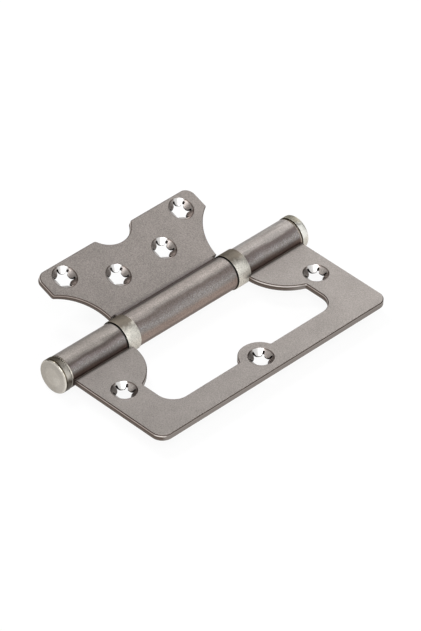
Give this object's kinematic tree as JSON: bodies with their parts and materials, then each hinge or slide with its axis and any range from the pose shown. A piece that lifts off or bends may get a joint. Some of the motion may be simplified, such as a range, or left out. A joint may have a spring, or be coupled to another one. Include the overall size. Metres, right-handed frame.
{
  "type": "butterfly hinge",
  "caption": "Flush butterfly hinge: a wing leaf folds flat into the cut-out of a frame leaf, on a barrel with ball bearings and end caps.",
  "frame": {"origin": "on the pin's axis, halfway along the barrel", "axes": "+Y along the barrel, +X from the barrel along the level frame leaf, +Z the side the screws go in"},
  "size_m": [0.0734, 0.1072, 0.0176],
  "materials": {
    "leaf_steel": "satin blasted",
    "bright_nickel": "polished nickel",
    "bearing_steel": "ground"
  },
  "bodies": {
    "frame_side": {"frame_leaf": "leaf_steel", "hinge_pin": "bearing_steel", "near_cap": "bright_nickel", "far_cap": "bright_nickel", "near_loose_race": "bearing_steel", "far_bearing_shell": "bright_nickel", "far_seated_race": "bearing_steel"},
    "wing_side": {"wing_leaf": "leaf_steel", "near_bearing_shell": "bright_nickel", "near_seated_race": "bearing_steel", "far_loose_race": "bearing_steel"},
    "near_balls": {"near_caged_balls": "bearing_steel"},
    "far_balls": {"far_caged_balls": "bearing_steel"}
  },
  "joints": [
    {"name": "leaf_swing", "type": "hinge", "parent": "frame_side", "child": "wing_side", "pos_m": [0, 0, 0], "axis": [0, 1, 0], "range_deg": [-109.5, 160.5]},
    {"name": "near_balls_roll", "type": "hinge", "parent": "frame_side", "child": "near_balls", "pos_m": [0, 0, 0], "axis": [0, 1, 0], "range_deg": [-54.75, 80.25]},
    {"name": "far_balls_roll", "type": "hinge", "parent": "frame_side", "child": "far_balls", "pos_m": [0, 0, 0], "axis": [0, 1, 0], "range_deg": [-54.75, 80.25]}
  ],
  "couplings": [
    {"joint": "near_balls_roll", "follows": "leaf_swing", "ratio": 0.5},
    {"joint": "far_balls_roll", "follows": "leaf_swing", "ratio": 0.5}
  ]
}
